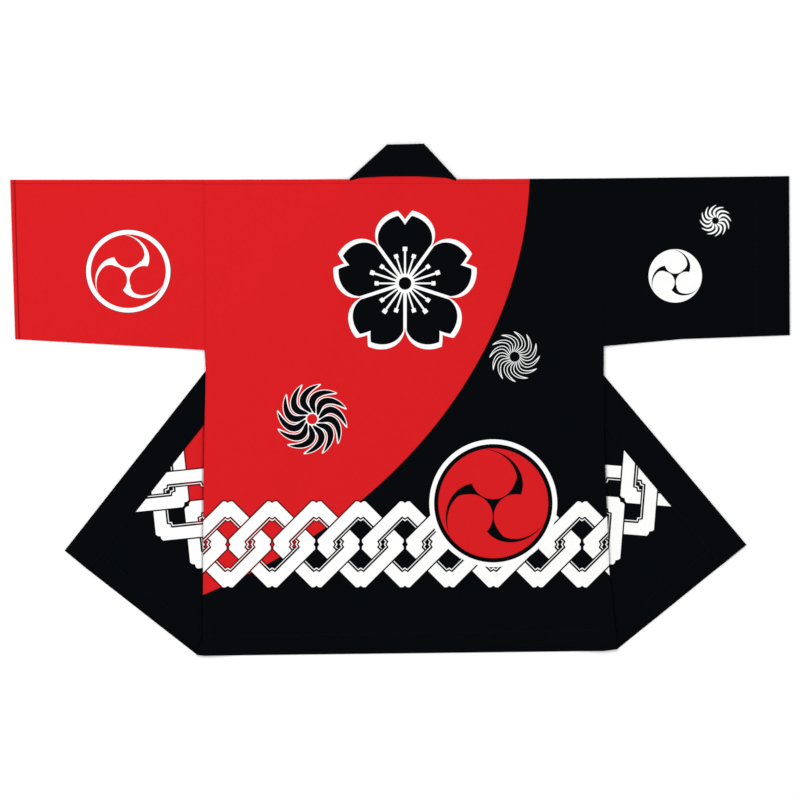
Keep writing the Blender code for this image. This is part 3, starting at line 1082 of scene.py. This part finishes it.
def shaped_front(side, points, coat):
    """Where a front's flat points lie, with its free half folded under and its shoulder turned up."""
    over = over_shoulder(side)
    shoulder_line = metres(side.shoulder) + over * FOLD_RADIUS * (math.pi / 2 - 1) - over * CLOTH / 2
    laid, under = fold(points, metres(side.hem_corner), fold_normal(side), FOLD_RADIUS)
    laid, turned = fold(laid, shoulder_line, over, FOLD_RADIUS)
    panel = front_panel(side)
    outer = panel.left if side.sign < 0 else panel.right
    side_distance = np.abs(points[:, 0] - np.interp(points[:, 1], outer[:, 1], outer[:, 0]))
    meet = EDGE_DROP * ease(side_distance, EDGE_REACH) * (1 - under) * (1 - turned)
    placed = at_level(laid, np.clip(1 - under + turned + meet, 0, 2), CLOTH)
    body = distance_outside(laid, LAYOUTS[side.name]["front"])
    free = 1 - ease(body - FREE_FROM, FREE_REACH)
    placed[:, 2] += creased(laid, FRONT_CREASES[side.name], coat.crease_scale) * free * (under > 0.99)
    hem = hem_ridge(panel.distances(points)[:, 0], 0.3 * MM)
    placed[:, 2] += hem * free * (under > 0.99)
    return placed


class COAT_OT_fronts(bpy.types.Operator):
    """Makes both fronts, each with its free half folded under into a flap"""

    bl_idname = "coat.fronts"
    bl_label = "Fronts"

    def execute(self, context):
        coat = context.scene.coat
        for side, slot in zip(SIDES, ("printed_cloth", "black_cloth")):
            panel = front_panel(side)
            width = panel.bottom[-1, 0] - panel.bottom[0, 0]
            length = panel.top[0, 1] - panel.bottom[0, 1]
            up = spacing(length, coat.mesh_step)
            fine = 1 - np.arange(0.4, 16, 0.5)[::-1] * MM / length
            up = np.unique(np.concatenate([up[up < fine[0] - 0.5 * MM / length], fine, [1.0]]))
            body = panel.grid(spacing(width, coat.mesh_step), up)
            sheet = bmesh.new()
            corners = [sheet.verts.new((*point, 0)) for point in body.reshape(-1, 2)]
            for face in quads(grid_numbers(*body.shape[:2])):
                sheet.faces.new([corners[i] for i in face])
            cut_along(sheet, fold_lines(metres(side.hem_corner), fold_normal(side), FOLD_RADIUS))
            points, faces = sheet_parts(sheet)
            distances = panel.distances(points)
            placed = shaped_front(side, points, coat)
            # The third number, beside the body, sets where the painted shade falls; near the shoulder it is 1,
            # so none is painted there.
            beside = distance_outside(placed[:, :2], LAYOUTS[side.name]["front"])
            distances[:, 2] = np.where(distances[:, 2] < SHOULDER_WITHOUT_PAINTED_SHADE, 1.0, beside)
            piece = add_cloth(f"front_{side.name}_cloth", placed, faces, points, distances, coat.cloth_wall,
                              front_material(side, coat))
            finish_piece(piece, f"front_{side.name}")
        return {"FINISHED"}


def along_edge(edge, fraction):
    """A point at a fraction of an edge's width across the coat."""
    x = edge[0, 0] + (edge[-1, 0] - edge[0, 0]) * fraction
    order = np.argsort(edge[:, 0])
    return np.array([x, np.interp(x, edge[order, 0], edge[order, 1])])


def sleeve_ring(top, lower, rows):
    """The points round a flattened sleeve and the level of each, from the lower edge over the top."""
    up = unit(top - lower)
    inset = (FOLD_RADIUS + CLOTH / 2) * up
    top, lower = top - inset, lower + inset
    across = rows[:, None]
    turn = np.linspace(0, math.pi, FOLD_STEPS + 1)[1:-1]
    bend, turned = FOLD_RADIUS * np.sin(turn)[:, None] * up, (1 - np.cos(turn)) / 2
    back = top + (1 - across[::-1]) * (lower - top)
    ring = np.concatenate([lower + across * (top - lower), top + bend, back, lower - bend])
    flat = np.zeros(len(rows))
    return ring, np.concatenate([flat, turned, flat + 1, 1 - turned])


class COAT_OT_sleeves(bpy.types.Operator):
    """Makes both sleeves as flattened tubes, open at the armhole and the cuff"""

    bl_idname = "coat.sleeves"
    bl_label = "Sleeves"

    def execute(self, context):
        coat = context.scene.coat
        for sleeve, paint, slot in zip(SLEEVES, (left_sleeve_material, right_sleeve_material),
                                       ("red_cloth", "black_cloth")):
            top_edge, lower_edge = metres(sleeve.top_edge), metres(sleeve.lower_edge)
            for edge in (top_edge, lower_edge):
                edge[0, 0] -= math.copysign(ARM_LAP, edge[0, 0])
            length = abs(top_edge[-1, 0] - top_edge[0, 0])
            stations, rows = spacing(length, coat.mesh_step), spacing(0.29, coat.mesh_step)
            points, natural, edges = [], [], []
            for fraction in stations:
                top, lower = along_edge(top_edge, fraction), along_edge(lower_edge, fraction)
                ring, level = sleeve_ring(top, lower, rows)
                rest = heights(ring)[1]
                from_fold = np.minimum(top[1] - ring[:, 1], ring[:, 1] - lower[1])
                pinch = 0.12 * (1 - 2 * level) * ease(from_fold, 6 * MM)
                z = rest + (level + pinch) * (CLOTH + LAYER_GAP) + CLOTH / 2
                cuff = (1 - fraction) * length
                raised = creased(ring, SLEEVE_CREASES[sleeve.name], coat.crease_scale)
                raised += hem_ridge(np.full(len(ring), cuff), 0.3 * MM, 4 * MM, 5 * MM)
                z += raised * (level == 1)
                points.append(np.column_stack([ring, z]))
                folded = np.where(level >= 0.5, ring[:, 1], 2 * top[1] - ring[:, 1])
                natural.append(np.column_stack([ring[:, 0], folded]))
                edges.append(np.column_stack([
                    np.full(len(ring), cuff), np.full(len(ring), fraction * length), top[1] - ring[:, 1]]))
            number = grid_numbers(len(stations), len(points[0]))
            faces = quads(np.column_stack([number, number[:, 0]]))
            if sleeve.name == "left":
                faces = faces[:, ::-1]
            piece = add_cloth(f"sleeve_{sleeve.name}_cloth", np.concatenate(points), faces,
                              np.concatenate(natural), np.concatenate(edges), coat.cloth_wall, paint(coat))
            finish_piece(piece, f"sleeve_{sleeve.name}")
        return {"FINISHED"}


class COAT_OT_collar(bpy.types.Operator):
    """Makes the collar band: its middle at the neck and both ends on the flaps"""

    bl_idname = "coat.collar"
    bl_label = "Collar band"

    def execute(self, context):
        coat = context.scene.coat
        cloth = band_material(coat)
        for side in SIDES:
            tip, band_hem, band_start, top = LAYOUTS[side.name]["band"]
            inset = unit(tip - band_hem) * SEAM_GAP
            clear = unit(tip - top) * BAND_CLEAR
            corners = np.array([tip, band_hem + inset, band_start + inset + clear, top + clear])
            along = unit(top - tip)
            across = np.array([-along[1], along[0]])
            lines = even_lines(corners, along, BAND_STEP) + even_lines(corners, across, BAND_STEP)
            points, faces = sheet_parts(cut_sheet(corners, lines))
            off = np.abs((points - tip) @ across)
            span = off.max()
            from_edge = np.minimum(off, span - off)
            edges = np.column_stack([np.abs((points - tip) @ along), from_edge, off])
            crown = BAND_CROWN * (1 - ease(from_edge, 9 * MM))
            placed = np.column_stack([points, BAND / 2 + crown])
            piece = add_cloth(
                f"collar_{side.name}_cloth", placed, faces, points, edges, coat.band_wall, cloth)
            finish_piece(piece, f"collar_{side.name}")
            length = float(np.ptp((points - tip) @ along))
        radius = (BAND + LAYER_GAP) / 2
        ends, lines, folds = [], [], []
        for side in SIDES:
            neck, top, band_start = LAYOUTS[side.name]["tuck"]
            slant = unit(top - neck)
            outward = np.array([slant[1], -slant[0]]) * side.sign
            ends.append((reflect(band_start, neck, slant), top))
            lines += fold_lines(neck, outward, radius)
            folds.append((neck, outward))
        corners = np.array([*neckline(-BAND_LAP / 2), ends[1][0], ends[1][1], ends[0][1], ends[0][0]])
        for along in np.eye(2):
            lines += even_lines(corners, along, BAND_STEP)
        natural, faces = sheet_parts(cut_sheet(corners, lines))
        points, under = natural, np.zeros(len(natural))
        for through, outward in folds:
            points, turned = fold(points, through, outward, radius)
            under += turned
        top_y = max(side.collar_top[1] for side in SIDES) * MM
        edges = np.column_stack([np.full(len(points), 1.0), top_y - natural[:, 1], np.full(len(points), 1.0)])
        piece = add_cloth("collar_back_cloth", at_level(points, 2 - under, BAND), faces, natural, edges,
                          coat.band_wall, cloth)
        finish_piece(piece, "collar_back")
        return {"FINISHED"}


class COAT_OT_stitches(bpy.types.Operator):
    """Sews the hem, the cuffs and the band's edges"""

    bl_idname = "coat.stitches"
    bl_label = "Stitches"

    def execute(self, context):
        sizes, coat = context.scene.stitches, context.scene.coat
        black = thread_material("black thread", (0.020, 0.022, 0.028))
        dark = thread_material("dark thread", (0.0010, 0.0014, 0.0022))
        red = thread_material("red thread", tuple(0.8 * part for part in coat.red))
        hem = np.array([0, sizes.hem_turning])
        rows = {"hem_stitches": [], "cuff_stitches_left": [], "band_stitches": []}
        right = metres(SIDES[1].back_corner)
        path = [metres(HEM_BENDS[0]) + hem + (ROW_INSET, 0), right + hem - (3 * ROW_INSET, 0)]
        rows["hem_stitches"].append(row_on("back_cloth", path, sizes.hem_pitch, 1))
        for side in SIDES:
            corner, covered = metres(side.hem_corner), LAYOUTS[side.name]["front"]
            tip, band_hem, band_start, _ = LAYOUTS[side.name]["band"]
            along = unit(band_hem - corner)
            up = np.array([-along[1], along[0]]) * side.sign * sizes.hem_turning
            front, collar = f"front_{side.name}_cloth", f"collar_{side.name}_cloth"
            path = [corner + up, band_hem + up]
            rows["hem_stitches"].append(row_on(front, path, sizes.hem_pitch, 1, covered))
            for off in BAND_ROWS:
                inner = unit(tip - band_hem) * off
                path = [band_hem + inner + (band_start - band_hem) * 0.01, band_start + inner]
                rows["band_stitches"].append(row_on(collar, path, sizes.pitch, 1, covered))
        for sleeve in SLEEVES:
            ends = []
            for edge in (metres(sleeve.top_edge), metres(sleeve.lower_edge)):
                length = abs(edge[-1, 0] - edge[0, 0])
                ends.append(along_edge(edge, 1 - sizes.cuff_turning / length))
            row = "cuff_stitches_left" if sleeve.name == "left" else "hem_stitches"
            path = [ends[0] - (0, ROW_INSET), ends[1] + (0, ROW_INSET)]
            for level in (1, -1):
                rows[row].append(row_on(f"sleeve_{sleeve.name}_cloth", path, sizes.hem_pitch, level))
        rows["band_stitches"].append(row_on("collar_back_cloth", neckline(NECK_ROW), sizes.pitch, 1))
        group, names = make_stitch_nodes()
        for name, thread, length, slot in (
                ("hem_stitches", black, sizes.hem_length, "black_cloth"),
                ("cuff_stitches_left", red, sizes.hem_length, "red_cloth"),
                ("band_stitches", dark, sizes.length, "band_cloth")):
            points = np.concatenate([row[0] for row in rows[name]])
            along = np.concatenate([row[1] for row in rows[name]])
            mesh = bpy.data.meshes.new(f"{name}_rows")
            mesh.from_pydata(points.tolist(), [], [])
            mesh.attributes.new("along", "FLOAT_VECTOR", "POINT").data.foreach_set("vector", along.ravel())
            marks = bpy.data.objects.new(f"{name}_rows", mesh)
            context.scene.collection.objects.link(marks)
            nodes = marks.modifiers.new("Stitches", "NODES")
            nodes.node_group = group
            nodes[names["Length"]], nodes[names["Width"]] = length, sizes.width
            nodes[names["Thread"]] = thread
            sewn = bpy.data.meshes.new_from_object(marks.evaluated_get(context.evaluated_depsgraph_get()))
            marks.modifiers.remove(nodes)
            bpy.data.objects.remove(marks)
            piece = bpy.data.objects.new(name, sewn)
            context.scene.collection.objects.link(piece)
            finish_piece(piece, None)
        return {"FINISHED"}


class COAT_OT_studio(bpy.types.Operator):
    """Makes the pale floor, the soft light and the camera above the coat"""

    bl_idname = "coat.studio"
    bl_label = "Studio"

    def execute(self, context):
        studio = context.scene.studio
        scene = context.scene
        mesh = bpy.data.meshes.new("Floor")
        corners = [(x * FLOOR_HALF, y * FLOOR_HALF, 0) for x, y in ((-1, -1), (1, -1), (1, 1), (-1, 1))]
        mesh.from_pydata(corners, [], [(0, 1, 2, 3)])
        floor = bpy.data.objects.new("Floor", mesh)
        scene.collection.objects.link(floor)
        material, tree, shader = new_surface("paper floor")
        grain = object_noise(tree, 30.0)
        pale = tuple(studio.floor)
        colour = mixed(tree, grain, tuple(0.99 * c for c in pale), pale)
        feed(tree, shader.inputs["Base Color"], colour)
        shader.inputs["Roughness"].default_value = 0.9
        shader.inputs["Specular IOR Level"].default_value = 0.1
        mesh.materials.append(material)

        world = bpy.data.worlds.new("soft light")
        scene.world = world
        world.use_nodes = True
        sky = world.node_tree.nodes["Background"]
        sky.inputs["Color"].default_value = (1.0, 1.0, 1.0, 1.0)
        sky.inputs["Strength"].default_value = studio.daylight
        lamp_data = bpy.data.lights.new("Lamp", "AREA")
        lamp_data.energy = studio.lamp
        lamp_data.size = LAMP_SIZE
        lamp = bpy.data.objects.new("Lamp", lamp_data)
        lamp.location = LAMP_PLACE
        lamp.rotation_euler = LAMP_TURN
        scene.collection.objects.link(lamp)

        camera_data = bpy.data.cameras.new("Camera")
        camera_data.sensor_width = 36
        camera_data.lens = CAMERA_LENS
        camera_data.clip_end = 50
        camera = bpy.data.objects.new("Camera", camera_data)
        camera.location = CAMERA_PLACE
        scene.collection.objects.link(camera)
        scene.camera = camera
        scene.view_settings.view_transform = "Standard"
        scene.view_settings.look = "None"
        return {"FINISHED"}


class COAT_PT_panel(bpy.types.Panel):
    """The steps and sizes of the coat"""

    bl_idname = "COAT_PT_panel"
    bl_label = "Happi coat"
    bl_space_type = "VIEW_3D"
    bl_region_type = "UI"
    bl_category = "Happi coat"

    def draw(self, context):
        for step in STEPS:
            self.layout.operator(step.bl_idname)
        for group in (context.scene.coat, context.scene.stitches, context.scene.studio):
            for name in group.__annotations__:
                self.layout.prop(group, name)


STEPS = [COAT_OT_studio, COAT_OT_fronts, COAT_OT_back, COAT_OT_sleeves, COAT_OT_collar, COAT_OT_stitches]
CLASSES = [CoatSizes, StitchSizes, StudioSizes, *STEPS, COAT_PT_panel]


def register():
    for kind in CLASSES:
        bpy.utils.register_class(kind)
    bpy.types.Scene.coat = bpy.props.PointerProperty(type=CoatSizes)
    bpy.types.Scene.stitches = bpy.props.PointerProperty(type=StitchSizes)
    bpy.types.Scene.studio = bpy.props.PointerProperty(type=StudioSizes)


def unregister():
    del bpy.types.Scene.studio
    del bpy.types.Scene.stitches
    del bpy.types.Scene.coat
    for kind in reversed(CLASSES):
        bpy.utils.unregister_class(kind)


def make_groups():
    """The print's shared motifs and the weave, built once."""
    for make in (make_weave_group, make_seam_group, make_chain_group, make_comma_group, make_pinwheel_group):
        make()


def main():
    register()
    make_groups()
    bpy.ops.coat.studio()
    bpy.ops.coat.fronts()
    bpy.ops.coat.back()
    bpy.ops.coat.sleeves()
    bpy.ops.coat.collar()
    bpy.ops.coat.stitches()


if __name__ == "__main__":
    main()
